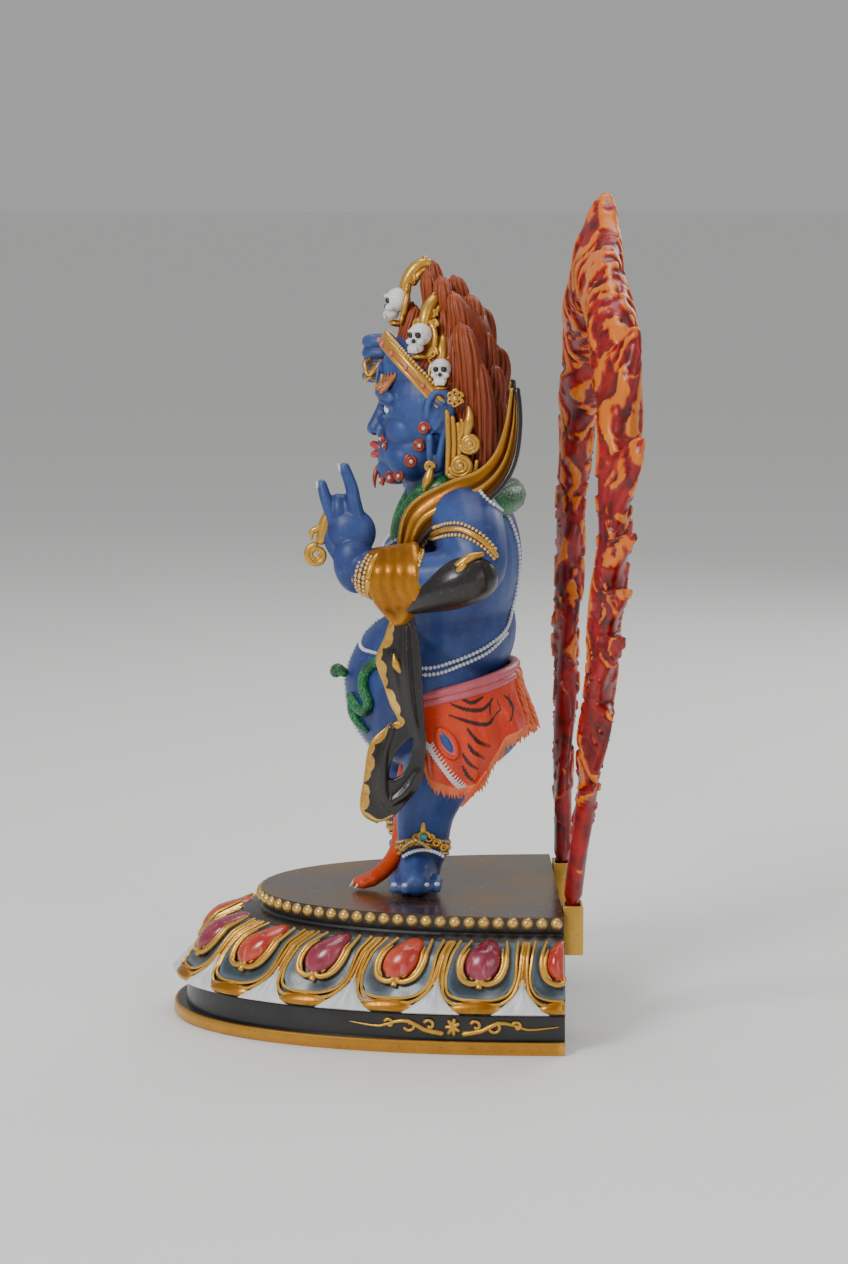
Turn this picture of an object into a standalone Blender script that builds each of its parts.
"""A painted guardian statue on a lotus pedestal, with a flame aureole in two sockets.

Metres, +Z up. The origin is at the middle of the pedestal's underside.
The figure faces -Y, so its own left side is +X.
"""
import math

import bmesh
import bpy
from mathutils import Matrix, Vector

# Pedestal
base_width = 0.146
base_depth = 0.139
base_height = 0.0455
plate_width = 0.119
plate_depth = 0.109
plan_power = 2.2
rim_height = 0.0047
recess_top = 0.0130
recess_depth = 0.0030
petal_bottom = 0.0156
petal_drop = 0.0080
neck_drop = 0.0060
neck_depth = 0.0022
bead_diameter = 0.0044
bead_pitch = 0.0051
bead_inset = 0.0017
petal_pitches = 11
stations_per_petal = 6
dome_relief = 0.0042
lobe_relief = 0.0016

# Clearance between pieces that touch
gap = 0.0003

# Sockets on the back of the pedestal
socket_spacing = 0.078
socket_width = 0.0120
socket_depth = 0.0072
socket_height = 0.0175
socket_rise = 0.0012
socket_wall = 0.0011
socket_floor = 0.0022

# Flame aureole
aureole_height = 0.2980
aureole_half_width = 0.0800
aureole_thickness = 0.0115
leg_thickness = 0.0072
band_width = 0.0230
leg_width = 0.0110
leg_shoulder = 0.0035
top_thickness = 0.0175
tongue_length = 0.0150
tongue_curl = 0.0060
apex_length = 0.0180
apex_thickness = 0.0085
apex_curl = 0.0030
tip_thickness = 0.0012
tongue_tips = (0.329, 0.448, 0.515, 0.585, 0.692, 0.821)
wave_count = 8
aureole_nod = 0.0050
aureole_lean = math.radians(3.4)
aureole_turn = math.radians(2.0)
ring_stations = 96

# Figure, laid out on a grid of 226 parts to its height
figure_height = 0.2260
figure_grid = 226.0
figure_middle = -10.0
figure_voxel = 0.00105
figure_faces = 4300

part = figure_height / figure_grid
petal_top = base_height - petal_drop
neck_height = base_height - neck_drop
back_plane = base_depth / 2


def clear_scene():
    for old in list(bpy.data.objects):
        bpy.data.objects.remove(old, do_unlink=True)


def new_collection(name):
    group = bpy.data.collections.new(name)
    bpy.context.scene.collection.children.link(group)
    return group


def paint(name, colour, roughness, metallic):
    material = bpy.data.materials.new(name)
    material.use_nodes = True
    shader = material.node_tree.nodes["Principled BSDF"]
    shader.inputs["Base Color"].default_value = (*colour, 1.0)
    shader.inputs["Roughness"].default_value = roughness
    shader.inputs["Metallic"].default_value = metallic
    material.diffuse_color = (*colour, 1.0)
    return material


def finish_object(name, mesh, group, material, smooth_angle=40.0):
    mesh.shade_smooth()
    mesh.set_sharp_from_angle(angle=math.radians(smooth_angle))
    piece = bpy.data.objects.new(name, mesh)
    piece.data.materials.append(material)
    group.objects.link(piece)
    return piece


def make_cutter(name, mesh, group):
    cutter = bpy.data.objects.new(name, mesh)
    cutter.hide_render = True
    cutter.display_type = "WIRE"
    group.objects.link(cutter)
    return cutter


def mesh_from(bm, name):
    bmesh.ops.recalc_face_normals(bm, faces=bm.faces)
    if bm.calc_volume(signed=True) < 0:
        bmesh.ops.reverse_faces(bm, faces=bm.faces)
    mesh = bpy.data.meshes.new(name)
    bm.to_mesh(mesh)
    bm.free()
    return mesh


def add_boolean(piece, cutter, operation):
    cut = piece.modifiers.new(cutter.name, "BOOLEAN")
    cut.operation = operation
    cut.solver = "EXACT"
    cut.object = cutter


def box_mesh(name, low, high):
    bm = bmesh.new()
    size = [high[i] - low[i] for i in range(3)]
    middle = [(high[i] + low[i]) / 2 for i in range(3)]
    matrix = Matrix.Translation(middle) @ Matrix.Diagonal((*size, 1.0))
    bmesh.ops.create_cube(bm, size=1.0, matrix=matrix)
    return mesh_from(bm, name)


def bump(value):
    """One at the middle, falling smoothly to nothing at one away from it."""
    if abs(value) >= 1.0:
        return 0.0
    return 0.5 + 0.5 * math.cos(math.pi * value)


def mix(low, high, share):
    return low + (high - low) * share


def ease(value):
    value = min(max(value, 0.0), 1.0)
    return value * value * (3 - 2 * value)


# The pedestal

def plan_point(half_width, depth, angle):
    """A point of the D-shaped plan; the flat side lies on the back plane."""
    across = math.cos(angle)
    along = math.sin(angle)
    x = half_width * math.copysign(abs(across) ** (2 / plan_power), across)
    y = back_plane - depth * abs(along) ** (2 / plan_power)
    return x, y


def even_angles(half_width, depth, count):
    """Angles that divide the plan's curved side into equal lengths."""
    samples = 720
    angles = [math.pi * i / samples for i in range(samples + 1)]
    points = [plan_point(half_width, depth, angle) for angle in angles]
    lengths = [0.0]
    for first, second in zip(points, points[1:]):
        lengths.append(lengths[-1] + math.dist(first, second))
    found = []
    place = 0
    for i in range(count + 1):
        target = lengths[-1] * i / count
        while place < samples - 1 and lengths[place + 1] < target:
            place += 1
        share = (target - lengths[place]) / (lengths[place + 1] - lengths[place])
        found.append(mix(angles[place], angles[place + 1], share))
    return found, lengths[-1]


def flare_sizes(flare, inset=0.0):
    """Plan sizes from the plate's edge (0) to the foot's edge (1)."""
    half_width = mix(plate_width, base_width, flare) / 2 - inset
    depth = mix(plate_depth, base_depth, flare) - inset
    return half_width, depth


def petal_relief(phase, height):
    """How far the petals stand out at a share of a petal's width and height."""
    share = (height - petal_bottom) / (petal_top - petal_bottom)
    dome = bump(phase / 0.36) ** 0.7 * bump((share - 0.62) / 0.46) ** 0.7
    stem = bump((abs(phase) - 0.5) / 0.13) * (1 - ease(share / 1.1))
    lobe = bump(phase / 0.42) * bump(share / 0.28)
    return dome * dome_relief + (stem * 0.8 + lobe) * lobe_relief


def pedestal_rows():
    """Rows of (height, flare, inset, petals) from the foot to the plate."""
    rows = [(0.0, 0.97, 0.0, False), (rim_height * 0.5, 1.0, 0.0, False), (rim_height, 0.97, 0.0, False)]
    rows.append((rim_height, 0.93, recess_depth * 0.6, False))
    rows.append((recess_top, 0.90, recess_depth * 0.6, False))
    flares = ((0.0, 0.93), (0.16, 0.84), (0.33, 0.76), (0.5, 0.67), (0.66, 0.58), (0.82, 0.44), (1.0, 0.16))
    for share, flare in flares:
        rows.append((mix(petal_bottom, petal_top, share), flare, 0.0, True))
    rows.append((neck_height, 0.0, neck_depth, False))
    rows.append((base_height - bead_diameter * 1.06, 0.0, bead_inset, False))
    rows.append((base_height, 0.0, bead_inset, False))
    return rows


def bead_ring():
    """The row of beads round the plate, as one mesh of separate balls."""
    bm = bmesh.new()
    half_width, depth = flare_sizes(0.0, bead_inset + bead_diameter * 0.1)
    length = even_angles(half_width, depth, 1)[1]
    count = round(length / bead_pitch)
    angles = even_angles(half_width, depth, count * 2)[0]
    for angle in angles[1::2]:
        x, y = plan_point(half_width, depth, angle)
        place = Matrix.Translation((x, y, base_height - bead_diameter * 0.53))
        bmesh.ops.create_icosphere(bm, subdivisions=1, radius=bead_diameter / 2, matrix=place)
    return mesh_from(bm, "bead_ring")


def make_pedestal(group, cutters):
    bm = bmesh.new()
    count = petal_pitches * stations_per_petal
    angles = even_angles(*flare_sizes(0.6), count)[0]
    rings = []
    for height, flare, inset, petals in pedestal_rows():
        half_width, depth = flare_sizes(flare, inset)
        ring = []
        for i, angle in enumerate(angles):
            grown = 0.0
            if petals:
                phase = (i / stations_per_petal + 0.5) % 1.0 - 0.5
                grown = petal_relief(phase, height)
            ring.append(bm.verts.new((*plan_point(half_width + grown, depth + grown, angle), height)))
        rings.append(ring)
    for lower, upper in zip(rings, rings[1:]):
        for i in range(count):
            bm.faces.new((lower[i], lower[i + 1], upper[i + 1], upper[i]))
    bm.faces.new(rings[0])
    bm.faces.new(rings[-1])
    left_edge = [ring[0] for ring in rings]
    right_edge = [ring[-1] for ring in reversed(rings)]
    bm.faces.new(left_edge + right_edge)
    lacquer = paint("black_lacquer", (0.035, 0.032, 0.034), 0.38, 0.0)
    pedestal = finish_object("lotus_pedestal", mesh_from(bm, "lotus_pedestal"), group, lacquer)
    beads = make_cutter("plate_beads", bead_ring(), cutters)
    add_boolean(pedestal, beads, "UNION")
    return pedestal


# The sockets

def socket_box(side):
    """Low and high corners of one socket's outer box."""
    middle = side * socket_spacing / 2
    low = (middle - socket_width / 2, back_plane + gap, base_height + socket_rise - socket_height)
    high = (middle + socket_width / 2, back_plane + gap + socket_depth, base_height + socket_rise)
    return low, high


def recess_box(side):
    """Low and high corners of the slot that takes the aureole's leg."""
    low, high = socket_box(side)
    inner_low = (low[0] + socket_wall, low[1] + socket_wall, low[2] + socket_floor)
    inner_high = (high[0] - socket_wall, high[1] - socket_wall, high[2])
    return inner_low, inner_high


def make_sockets(group, cutters):
    gold = paint("socket_gold", (0.62, 0.40, 0.12), 0.34, 0.85)
    for side, name in ((1, "socket_left"), (-1, "socket_right")):
        socket = finish_object(name, box_mesh(name, *socket_box(side)), group, gold)
        low, high = recess_box(side)
        over = (high[0], high[1], high[2] + socket_height)
        slot = make_cutter(name + "_slot", box_mesh(name + "_slot", low, over), cutters)
        add_boolean(socket, slot, "DIFFERENCE")


# The aureole

def height_share(half):
    """Height of the centre line as a share of its rise, from a leg's foot (0) to the apex (1)."""
    heights = ((0.0, 0.0), (0.14, 0.16), (0.32, 0.36), (0.50, 0.56), (0.64, 0.72), (0.80, 0.88), (0.92, 0.965),
               (1.0, 1.0))
    return read_smooth(heights, half)


def ring_line(share):
    """Centre line of the aureole in its own plane, from the left leg (0) over the apex (0.5)."""
    half = 1 - abs(2 * share - 1)
    foot = base_height + socket_rise + leg_shoulder
    rise = aureole_height - apex_length - band_width / 2 - foot
    foot_share = socket_spacing / 2 / aureole_half_width
    widths = ((0.0, foot_share), (0.14, 0.58), (0.32, 0.84), (0.50, 1.0), (0.64, 0.98), (0.80, 0.72), (0.92, 0.34),
              (1.0, 0.0))
    side = 1 if share <= 0.5 else -1
    return side * aureole_half_width * read_smooth(widths, half), foot + rise * height_share(half)


def read_smooth(points, value):
    """Catmull-Rom reading of a list of (place, width) pairs."""
    last = len(points) - 1
    for i in range(last):
        if value <= points[i + 1][0] or i == last - 1:
            before = points[max(i - 1, 0)][1]
            first = points[i][1]
            second = points[i + 1][1]
            after = points[min(i + 2, last)][1]
            t = (value - points[i][0]) / (points[i + 1][0] - points[i][0])
            a = 2 * first
            b = second - before
            c = 2 * before - 5 * first + 4 * second - after
            d = 3 * first - before - 3 * second + after
            return 0.5 * (a + b * t + c * t * t + d * t ** 3)
    return points[-1][1]


def tongue_at(share):
    """Length of the outer flame tongues along the ring, longer towards the top."""
    half = 1 - abs(2 * share - 1)
    if half > 0.95:
        return mix(tongue_length * 0.4, apex_length, ease((half - 0.95) / 0.05))
    height = height_share(half)
    size = tongue_length * mix(0.4, 1.0, ease(height * 1.4))
    before = 0.0
    for tip in (*tongue_tips, 1.0):
        if height <= tip:
            turn = (height - before) / (tip - before)
            fall = 1 - ease(turn / 0.2) if before > 0 else 0.0
            return size * max(fall, ease((turn - 0.35) / 0.65) if tip < 1.0 else 0.4 * ease(turn))
        before = tip
    return 0.0


def lean(x, y, z):
    """The aureole leans back and turns a little above its sockets."""
    rise = max(z - base_height - socket_rise, 0.0)
    share = rise / (aureole_height - base_height - socket_rise)
    turned = x * math.tan(aureole_turn) * ease(share * 8)
    nod = aureole_nod * ease((share - 0.68) / 0.3)
    return x, y + rise * math.tan(aureole_lean) + turned - nod, z


def leg_middle_y():
    low, high = socket_box(1)
    return (low[1] + high[1]) / 2


def make_aureole(group):
    bm = bmesh.new()
    rings = []
    middle_y = leg_middle_y()
    for i in range(ring_stations + 1):
        share = i / ring_stations
        half = 1 - abs(2 * share - 1)
        x, z = ring_line(share)
        ahead = ring_line(min(share + 0.004, 1.0))
        behind = ring_line(max(share - 0.004, 0.0))
        along = Vector((ahead[0] - behind[0], ahead[1] - behind[1])).normalized()
        side = 1 if share <= 0.5 else -1
        along = along * side
        out = Vector((along.y, -along.x)) * side
        if half > 0.985:
            out = Vector((0.0, 1.0))
        width = mix(leg_width, band_width, ease(half * 2.4)) / 2
        thick = mix(leg_thickness, aureole_thickness, ease(half * 2.2))
        thick = mix(thick, top_thickness, ease((half - 0.5) / 0.3)) / 2
        tongue = tongue_at(share) * ease(half * 9)
        wave = 0.12 * width * math.sin(half * wave_count * math.tau)
        up = along * tongue * 0.7
        top = ease((half - 0.9) / 0.06)
        tip = mix(tip_thickness, apex_thickness, top) / 2
        curl = mix(tongue / tongue_length * tongue_curl, apex_curl, top)
        spots = (
            (-width + wave, 0.0, 0.0),
            (-width * 0.45, -thick, 0.0),
            (width * 0.55, -thick, 0.15),
            (width + tongue, curl - tip, 1.0),
            (width + tongue, curl + tip, 1.0),
            (width * 0.55, thick, 0.15),
            (-width * 0.45, thick, 0.0),
        )
        ring = []
        for across, depth, lift in spots:
            px = x + out.x * across + up.x * lift
            pz = z + out.y * across + up.y * lift
            ring.append(bm.verts.new(lean(px, middle_y + depth, pz)))
        rings.append(ring)
    for first, second in zip(rings, rings[1:]):
        for i in range(len(first)):
            k = (i + 1) % len(first)
            bm.faces.new((first[i], first[k], second[k], second[i]))
    for side, ring in ((1, rings[0]), (-1, rings[-1])):
        add_tenon(bm, side, ring)
    red = paint("flame_red", (0.55, 0.02, 0.02), 0.36, 0.0)
    return finish_object("flame_aureole", mesh_from(bm, "flame_aureole"), group, red)


def add_tenon(bm, side, ring):
    """Carry a leg's end ring down into its socket, a gap clear of the slot."""
    low, high = recess_box(side)
    left, right = low[0] + gap, high[0] - gap
    front, back = low[1] + gap, high[1] - gap
    chamfer = (right - left) * 0.25
    inner, outer = (left, right) if side > 0 else (right, left)
    step = chamfer * side
    outline = ((inner, (front + back) / 2), (inner + step, front), (outer - step, front),
               (outer, mix(front, back, 0.4)), (outer, mix(front, back, 0.6)), (outer - step, back),
               (inner + step, back))
    top = [bm.verts.new((x, y, high[2] + gap)) for x, y in outline]
    bottom = [bm.verts.new((x, y, low[2] + gap)) for x, y in outline]
    for upper, lower in ((ring, top), (top, bottom)):
        for i in range(len(outline)):
            k = (i + 1) % len(outline)
            bm.faces.new((upper[i], upper[k], lower[k], lower[i]))
    bm.faces.new(bottom)


# The figure

def spot(x, y, z):
    """A grid point above the plate, in metres."""
    return Vector((x * part, y * part, base_height + gap + z * part))


def add_ball(bm, middle, radii, tilt=(0.0, 0.0, 0.0)):
    turn = Matrix.Rotation(math.radians(tilt[0]), 4, "X")
    turn = Matrix.Rotation(math.radians(tilt[1]), 4, "Y") @ turn
    turn = Matrix.Rotation(math.radians(tilt[2]), 4, "Z") @ turn
    scale = Matrix.Diagonal((radii[0] * part, radii[1] * part, radii[2] * part, 1.0))
    matrix = Matrix.Translation(spot(*middle)) @ turn @ scale
    ball = bmesh.new()
    bmesh.ops.create_uvsphere(ball, u_segments=20, v_segments=12, radius=1.0, matrix=matrix)
    made = bpy.data.meshes.new("ball")
    ball.to_mesh(made)
    ball.free()
    bm.from_mesh(made)
    bpy.data.meshes.remove(made)


def smooth_path(points, steps):
    """Catmull-Rom points through rows of numbers."""
    path = []
    last = len(points) - 1
    for i in range(last):
        rows = [points[max(i - 1, 0)], points[i], points[i + 1], points[min(i + 2, last)]]
        for s in range(steps):
            t = s / steps
            path.append([
                0.5 * (2 * b + (c - a) * t + (2 * a - 5 * b + 4 * c - d) * t * t + (3 * b - a - 3 * c + d) * t ** 3)
                for a, b, c, d in zip(*rows)
            ])
    path.append(list(points[-1]))
    return path


def add_limb(bm, points, steps=5):
    """A round limb through (x, y, z, radius) points, as a bevelled curve with ball ends."""
    path = smooth_path(points, steps)
    curve = bpy.data.curves.new("limb", "CURVE")
    curve.dimensions = "3D"
    curve.bevel_depth = 1.0
    curve.bevel_resolution = 3
    curve.use_fill_caps = True
    spline = curve.splines.new("POLY")
    spline.points.add(len(path) - 1)
    for place, (x, y, z, radius) in zip(spline.points, path):
        place.co = (*spot(x, y, z), 1.0)
        place.radius = radius * part
    carrier = bpy.data.objects.new("limb", curve)
    bpy.context.scene.collection.objects.link(carrier)
    bpy.context.view_layer.update()
    made = bpy.data.meshes.new_from_object(carrier.evaluated_get(bpy.context.evaluated_depsgraph_get()))
    bm.from_mesh(made)
    bpy.data.objects.remove(carrier, do_unlink=True)
    bpy.data.curves.remove(curve)
    bpy.data.meshes.remove(made)
    for x, y, z, radius in (path[0], path[-1]):
        add_ball(bm, (x, y, z), (radius, radius, radius))


def add_band(bm, points, steps=5):
    """A flat cloth band through (x, y, z, half width, half thickness, side x, y, z) points."""
    path = smooth_path(points, steps)
    places = [spot(*row[:3]) for row in path]
    rings = []
    for i, row in enumerate(path):
        along = (places[min(i + 1, len(path) - 1)] - places[max(i - 1, 0)]).normalized()
        side = Vector(row[5:8])
        side = (side - along * side.dot(along)).normalized()
        face = along.cross(side)
        half_width = row[3] * part
        half_thick = row[4] * part
        ring = []
        for k in range(10):
            angle = math.tau * k / 10
            offset = side * math.cos(angle) * half_width + face * math.sin(angle) * half_thick
            ring.append(bm.verts.new(places[i] + offset))
        rings.append(ring)
    for first, second in zip(rings, rings[1:]):
        for k in range(10):
            bm.faces.new((first[k], first[(k + 1) % 10], second[(k + 1) % 10], second[k]))
    bm.faces.new(rings[0])
    bm.faces.new(rings[-1])


def add_torso(bm):
    add_ball(bm, (figure_middle, 22, 71), (30, 29, 30))
    add_ball(bm, (figure_middle, 32, 114), (30, 24.5, 33))
    add_ball(bm, (figure_middle, 37, 118), (31, 20, 30))
    add_ball(bm, (figure_middle, 33, 93), (27, 22, 25))
    add_ball(bm, (figure_middle, 34, 60), (27.5, 24.5, 20))
    add_limb(bm, ((figure_middle, 31, 132, 15), (figure_middle, 27, 152, 13)))


def add_legs(bm):
    add_limb(bm, ((0, 34, 60, 17), (5, 27, 42, 13.5), (5, 22, 28, 10.8), (2, 21, 12, 8.8), (2, 21, 7, 7)))
    add_limb(bm, ((-22, 33, 60, 17), (-40, 18, 48, 14), (-46, 15, 36, 11), (-42, 16, 22, 9.6), (-40, 18, 8, 7.5)))
    for heel, toe, side in ((-1, 20, 1), (-38, -56, -1)):
        add_limb(bm, ((heel, 19, 5.5, 6.5), ((heel + toe) / 2, 18.5, 6, 7.5), (toe, 18, 4.5, 5.5)))
        for k in range(5):
            y = 10.6 + 3.8 * k
            reach = toe + side * (3.6 - 0.9 * abs(k - 1.4))
            add_limb(bm, ((toe - side * 3, y, 4.5, 2.6), (reach, y, 3.0, 2.5)), steps=2)


def add_skirt(bm):
    add_ball(bm, (figure_middle, 33, 63), (32.5, 28.5, 17))
    add_ball(bm, (4, 32, 49), (17.5, 19, 16), (20, 0, 0))
    add_ball(bm, (-26, 30, 50), (18, 18, 15), (20, 0, 0))
    add_limb(bm, ((-32, 52, 58, 6), (figure_middle, 56, 56, 6), (10, 50, 57, 6)))
    add_limb(bm, ((-12, 15, 30, 4.6), (-8, 14, 20, 4), (-2, 12, 12, 3.4), (4, 7.4, 6.4, 3.1), (9, 1.2, 3.2, 2.9)))


def add_arms(bm):
    upper = ((18, 36, 134, 13.5), (29, 38, 127, 12.5), (35.5, 38, 118, 10.6))
    add_limb(bm, (*upper, (33.5, 23, 115.5, 9.2), (24, 4, 115.5, 7.8)))
    add_ball(bm, (20, -3, 118), (7, 8.5, 12), (8, 0, 0))
    add_ball(bm, (19, -4, 131), (5.2, 8.6, 9))
    fingers = (((19, -2, 136), (19, -4, 146), (19, -6.5, 153)), ((18, -9, 134), (17, -12.5, 141), (16, -14.5, 146)))
    for finger in fingers:
        add_limb(bm, [(*place, 2.6 - 0.25 * k) for k, place in enumerate(finger)])
    for y in (-5.2, -8.6):
        add_limb(bm, ((18, y + 1, 135, 2.5), (18, y - 1, 141, 2.5), (14, y - 1.5, 140, 2.3), (13, y, 134, 2.2)))
    add_limb(bm, ((18, -8, 124, 3.2), (16, -12.5, 131, 2.6), (15, -12.5, 137, 2.2)))
    add_limb(bm, ((17, -11.5, 137, 2.4), (16, -13.5, 131, 3.2), (17, -15, 125, 2.6), (17, -17.5, 121, 4.2)))
    upper = ((-38, 36, 134, 13.5), (-56, 33, 130, 12), (-66, 27, 136, 10.5))
    add_limb(bm, (*upper, (-64, 18, 153, 9), (-62, 12.4, 173, 7)))
    add_ball(bm, (-62, 9, 185), (7, 7.2, 9.6))
    add_vajra(bm, (-60, 4.5, 188.5), (0.86, -0.22, -0.34))
    for k in range(4):
        z = 180.9 + 4.3 * k
        add_limb(bm, ((-66.5, 8.5, z, 2.5), (-60.4, 1.1, z, 2.5), (-54.4, 6.2, z, 2.2)))


def add_vajra(bm, middle, axis):
    """A short sceptre with a ball at the grip and a budded head at each end."""
    middle = Vector(middle)
    axis = Vector(axis).normalized()
    for side in (-1, 1):
        places = ((0, 2.4), (4, 1.6), (7, 3.6), (10, 4.2), (13, 2.8), (15.5, 1.2))
        add_limb(bm, [(*(middle + axis * side * reach), radius) for reach, radius in places], steps=3)


def add_head(bm):
    add_ball(bm, (figure_middle, 26, 173), (19.5, 21, 23))
    add_ball(bm, (figure_middle, 25, 186), (17.6, 18.6, 17))
    add_ball(bm, (figure_middle, 19.6, 157.5), (16.2, 14.4, 13.4))
    x = figure_middle
    add_limb(bm, ((x, 8, 175, 2.6), (x, 3.5, 167, 3.4)), steps=2)
    add_limb(bm, ((x - 4, 7, 158, 2), (x, 5.2, 158.5, 2.4), (x + 4, 7, 158, 2)), steps=3)
    add_limb(bm, ((x - 10, 10, 179, 2.2), (x, 5.5, 177, 2.4), (x + 10, 10, 179, 2.2)), steps=3)
    for side in (-1, 1):
        x = figure_middle + 19.5 * side
        add_limb(bm, ((x, 24, 174, 3.2), (x, 26.5, 166, 2.6), (x - 0.5 * side, 25.5, 150, 2.6)), steps=3)
        earring_x = figure_middle + 25.0 * side
        add_ball(bm, (earring_x, 35, 172), (3.2, 6.0, 9))
        add_ball(bm, (earring_x, 36, 156), (3.4, 6.6, 11))


def add_hair(bm):
    add_ball(bm, (figure_middle, 33, 178), (22, 15.5, 32), (-8, 0, 0))
    x = figure_middle
    rows = (
        (6, 25, 9, 6.0, 186, 219, 5.2),
        (9, 30, 16, 8.5, 176, 208, 5.2),
        (11, 32, 21, 12.5, 164, 194, 5.4),
        (12, 33, 23.5, 14.5, 154, 180, 5.4),
        (11, 33, 23.0, 14.0, 148, 164, 5.0),
    )
    for row, (count, y, reach_x, reach_y, foot, tip, radius) in enumerate(rows):
        for k in range(count):
            turn = math.radians(mix(-118, 118, k / (count - 1)))
            across = math.sin(turn)
            back = math.cos(turn)
            lift = 5.0 * max(back, -0.2) * (1 if row == 0 else 0.3) - 4.0 * (k % 2)
            places = (
                (x + reach_x * 0.8 * across, y + reach_y * 0.8 * back, foot, radius * 0.8),
                (x + reach_x * across, y + reach_y * back, mix(foot, tip, 0.5), radius),
                (x + reach_x * 0.86 * across, y + reach_y * 0.9 * back, tip + lift, radius * 0.62),
            )
            add_limb(bm, places, steps=4)


def crown_spot(turn):
    """A point of the slanted crown band: high over the forehead and low behind the ears."""
    across = math.sin(turn)
    front = math.cos(turn)
    return figure_middle + 19.6 * across, 25.4 - 17.4 * front, 179 + 19 * front


def add_crown(bm):
    band = [(*crown_spot(math.radians(a)), 2.0) for a in range(-100, 101, 20)]
    add_limb(bm, band, steps=3)
    middle_skull = (0, 0.98, 3.6, 10.5)
    side_skulls = ((56, 0.92, 4, 7.4), (90, 0.82, 1.8, 6.4))
    mirrored = [(-angle, size, back, up) for angle, size, back, up in side_skulls]
    for angle, size, back, up in (middle_skull, *side_skulls, *mirrored):
        turn = math.radians(angle)
        x, y, z = crown_spot(turn)
        y += back
        z += up
        out_x = math.sin(turn)
        add_ball(bm, (x + 1.2 * out_x, y, z), (4.8 * size, 4.4 * size, 6.8 * size))
        tip = (x - 1.5 * out_x, y + 6, z + 18.5 * size, 1.6)
        add_limb(bm, ((x, y + 1, z + 4 * size, 3.0), (x, y + 2, z + 11 * size, 2.5), tip))
        add_limb(bm, ((x, y - back, z - up, 2.2), (x, y, z - 3, 3.0)), steps=2)


def add_scarf(bm):
    for side in (-1, 1):
        sweep = (
            (26, 53.4, 180, 2.2, 1.2, 0.5, 0.85, 0), (28, 52.8, 168, 3.0, 1.3, 0.5, 0.85, -0.1),
            (30, 49.6, 155.6, 4.4, 1.5, 0.42, 0.7, -0.45), (32, 42.6, 147.2, 5.6, 1.7, 0.4, 0.5, -0.68),
            (33, 31, 141.6, 6.8, 1.9, 0.4, 0.5, -0.7), (32, 20.4, 135.4, 6.6, 2, 0.45, 0.7, -0.5),
            (30, 15, 123, 4.6, 2.2, 1, -1.2, 0.2),
        )
        placed = []
        for x, y, z, width, thick, sx, sy, sz in sweep:
            placed.append((figure_middle + x * side, y, z, width, thick, sx * side, sy, sz))
        add_band(bm, placed)
    add_ball(bm, (37, 34, 113.5), (13.6, 12.5, 8.5), (22, 0, 0))
    add_limb(bm, ((42, 36.4, 110.6, 4.4), (38, 27.5, 108.6, 4.2), (34, 19, 106.4, 3.2)))
    add_limb(bm, ((27, 10, 121, 4), (33, 8, 112, 5), (30, 7, 103, 4.5), (27, 9, 98, 4)))
    strands = (
        ((10, 101, 4.5), (12.5, 88, 7.5), (14.5, 74, 7.0), (15.0, 62, 6.5)),
        ((14.0, 64, 6.0), (6.5, 56, 4.8), (4.5, 48, 4.6), (5.5, 40, 5.5)),
        ((17.0, 64, 4.0), (19.5, 54, 1.9), (18.5, 45, 2.2), (14.0, 38, 4.5)),
        ((9.5, 43, 9.0), (8.0, 37, 8.2), (5.0, 29, 3.6)),
    )
    for strand in strands:
        add_band(bm, [(28, y, z, width, 2.0, 0.15, 1, 0) for y, z, width in strand])


def add_snake_collar(bm):
    points = []
    for k in range(13):
        turn = math.radians(mix(-165, 165, k / 12))
        x = figure_middle + 24.5 * math.sin(turn)
        points.append((x, 36 + 16.2 * math.cos(turn), 141 + 2 * math.cos(turn), 5.6))
    add_limb(bm, points, steps=3)
    add_limb(bm, ((-16, 17, 136, 4.0), (figure_middle, 11, 127, 3.2), (-3, 10, 119, 2.4)))


def make_figure(group, cutters):
    bm = bmesh.new()
    for add in (add_torso, add_legs, add_skirt, add_arms, add_head, add_hair, add_crown, add_scarf, add_snake_collar):
        add(bm)
    blue = paint("skin_blue", (0.06, 0.15, 0.42), 0.55, 0.0)
    mesh = mesh_from(bm, "figure")
    figure = finish_object("vajrapani_figure", mesh, group, blue)
    remesh = figure.modifiers.new("one_surface", "REMESH")
    remesh.mode = "VOXEL"
    remesh.voxel_size = figure_voxel
    remesh.use_smooth_shade = True
    cloud = bpy.context.evaluated_depsgraph_get()
    cloud.update()
    dense = len(figure.evaluated_get(cloud).data.polygons) * 2
    thin = figure.modifiers.new("fewer_faces", "DECIMATE")
    thin.ratio = figure_faces / dense
    under = make_cutter("under_soles", box_mesh(
        "under_soles",
        (-plate_width, -plate_depth, base_height - base_width),
        (plate_width, plate_depth, base_height + gap),
    ), cutters)
    add_boolean(figure, under, "DIFFERENCE")
    return figure


clear_scene()
statue = new_collection("vajrapani_statue")
guides = new_collection("cutters")
make_figure(statue, guides)
make_aureole(statue)
make_sockets(statue, guides)
make_pedestal(statue, guides)
